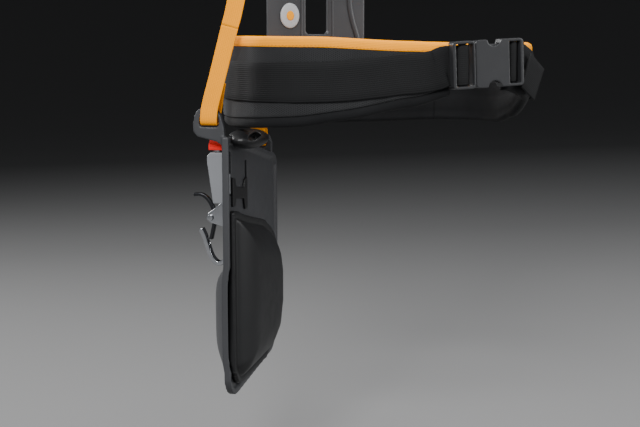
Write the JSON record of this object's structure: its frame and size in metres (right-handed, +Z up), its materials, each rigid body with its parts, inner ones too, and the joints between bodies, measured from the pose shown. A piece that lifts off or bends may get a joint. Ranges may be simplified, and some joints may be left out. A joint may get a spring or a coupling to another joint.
{
  "type": "brushcutter carrying harness",
  "caption": "Padded hip belt with side-release buckle, hinged hip plate with thigh pad and snap hook, and a height-adjustable back frame with shoulder pads.",
  "frame": {"origin": "middle of the waist, on the spine's plane, half way up the belt", "axes": "+Z up along the wearer's back, -Y the way the wearer faces, +X to the wearer's left"},
  "size_m": [0.3795, 0.2996, 0.791],
  "materials": {
    "pad_fabric": "woven mesh over foam",
    "orange_webbing": "woven tape",
    "black_webbing": "woven tape",
    "buckle_plastic": "moulded, satin",
    "frame_plastic": "moulded, fine texture",
    "carrier_plastic": "moulded, satin",
    "cover_rubber": "glossy rubber",
    "thigh_foam": "smooth thermoformed foam",
    "hook_steel": "bright plated",
    "gate_steel": "black",
    "pin_steel": "zinc plated",
    "red_webbing": "woven tape",
    "button_plastic": "moulded"
  },
  "bodies": {
    "harness": {"lumbar_pad": "pad_fabric", "lumbar_binding": "orange_webbing", "right_wing_pad": "pad_fabric", "right_wing_binding": "orange_webbing", "belt_webbing_lumbar": "black_webbing", "belt_webbing_right": "black_webbing", "buckle_male": "buckle_plastic", "lumbar_frame": "frame_plastic", "frame_screw_1": "pin_steel", "frame_screw_2": "pin_steel", "frame_screw_3": "pin_steel", "frame_screw_4": "pin_steel", "frame_badge": "carrier_plastic", "front_load_strap": "orange_webbing", "rear_load_strap": "orange_webbing", "left_side_strap": "black_webbing"},
    "left_wing": {"left_wing_pad": "pad_fabric", "left_wing_binding": "orange_webbing", "belt_webbing_left": "black_webbing", "webbing_tail": "black_webbing", "buckle_female": "buckle_plastic"},
    "hip_plate": {"hip_plate": "frame_plastic", "pivot_cover": "cover_rubber", "thigh_pad": "thigh_foam"},
    "carrier": {"hook_carrier": "carrier_plastic", "carrier_clip": "buckle_plastic", "swivel_pin": "pin_steel"},
    "release": {"release_pin": "pin_steel", "release_strap": "red_webbing"},
    "hook": {"hook_body": "hook_steel", "gate_rivet": "hook_steel"},
    "gate": {"hook_gate": "gate_steel"},
    "upper": {"upper_frame": "frame_plastic", "back_pad": "pad_fabric", "shoulder_pad_right": "pad_fabric", "shoulder_pad_left": "pad_fabric", "ladder_lock_right": "buckle_plastic", "ladder_lock_left": "buckle_plastic", "lock_webbing_right": "black_webbing", "lock_webbing_left": "black_webbing", "chest_buckle_female": "buckle_plastic", "chest_strap_right": "black_webbing"},
    "chest_half": {"chest_buckle_male": "buckle_plastic", "chest_strap_left": "black_webbing"},
    "height_button": {"height_button": "button_plastic"}
  },
  "joints": [
    {"name": "waist_release", "type": "slide", "parent": "harness", "child": "left_wing", "axis": [0.9986, 0, 0.0523], "range_m": [0, 0.034]},
    {"name": "plate_swing", "type": "hinge", "parent": "harness", "child": "hip_plate", "pos_m": [-0.1659, -0.0195, -0.052], "axis": [0.5446, 0.8387, 0], "range_deg": [0, 20]},
    {"name": "carrier_slide", "type": "slide", "parent": "hip_plate", "child": "carrier", "axis": [0, 0, 1], "range_m": [0, 0.02]},
    {"name": "release_pull", "type": "slide", "parent": "carrier", "child": "release", "axis": [0, 0, 1], "range_m": [0, 0.008]},
    {"name": "hook_swing", "type": "hinge", "parent": "carrier", "child": "hook", "pos_m": [-0.14813, 0.00235, -0.118], "axis": [0.5446, 0.8387, 0], "range_deg": [0, 35]},
    {"name": "gate_press", "type": "hinge", "parent": "hook", "child": "gate", "pos_m": [-0.16306, 0.01205, -0.145], "axis": [-0.5446, -0.8387, 0], "range_deg": [0, 28], "stiffness_Nm_per_rad": 0.12, "springref_deg": -11.46},
    {"name": "back_height", "type": "slide", "parent": "harness", "child": "upper", "axis": [0, 0, 1], "range_m": [0, 0.05]},
    {"name": "height_button_press", "type": "slide", "parent": "upper", "child": "height_button", "axis": [0, -1, 0], "range_m": [0, 0.003], "stiffness_N_per_m": 600, "springref_m": -0.001},
    {"name": "chest_release", "type": "slide", "parent": "upper", "child": "chest_half", "axis": [1, 0, 0], "range_m": [0, 0.026]}
  ]
}
